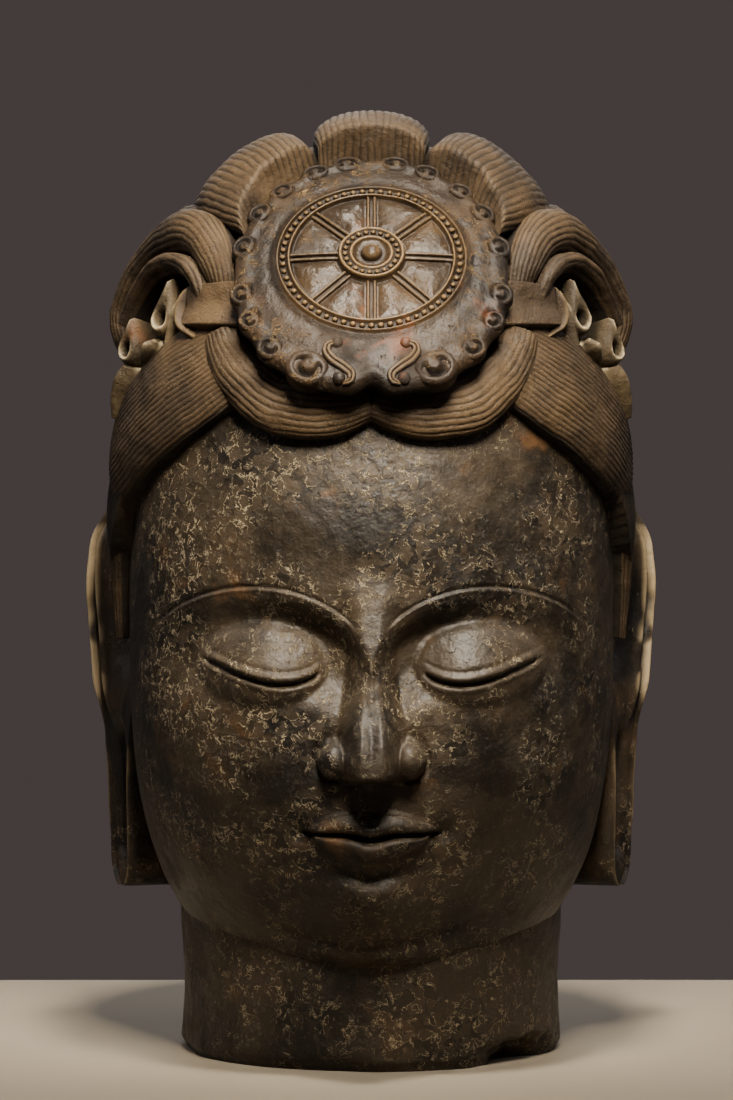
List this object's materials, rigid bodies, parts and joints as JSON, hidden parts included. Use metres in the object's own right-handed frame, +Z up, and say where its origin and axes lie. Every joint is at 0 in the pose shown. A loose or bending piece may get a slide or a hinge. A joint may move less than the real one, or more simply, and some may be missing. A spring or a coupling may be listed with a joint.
{
  "type": "bodhisattva head",
  "caption": "Carved stone bodhisattva head with lowered eyes, combed hair rolls, a wheel medallion over the brow and long ears, broken off level at the neck.",
  "frame": {"origin": "middle of the flat cut under the neck", "axes": "+Z up through the crown, -Y out of the face, +X to the left side of the head, the viewer's right"},
  "size_m": [0.2548, 0.2667, 0.4024],
  "materials": {
    "waxed_limestone": "dark brown limestone with a waxed sheen on the face and the medallion, dull ochre in the hair"
  },
  "bodies": {
    "root": {"bodhisattva_head": "waxed_limestone"}
  },
  "joints": []
}
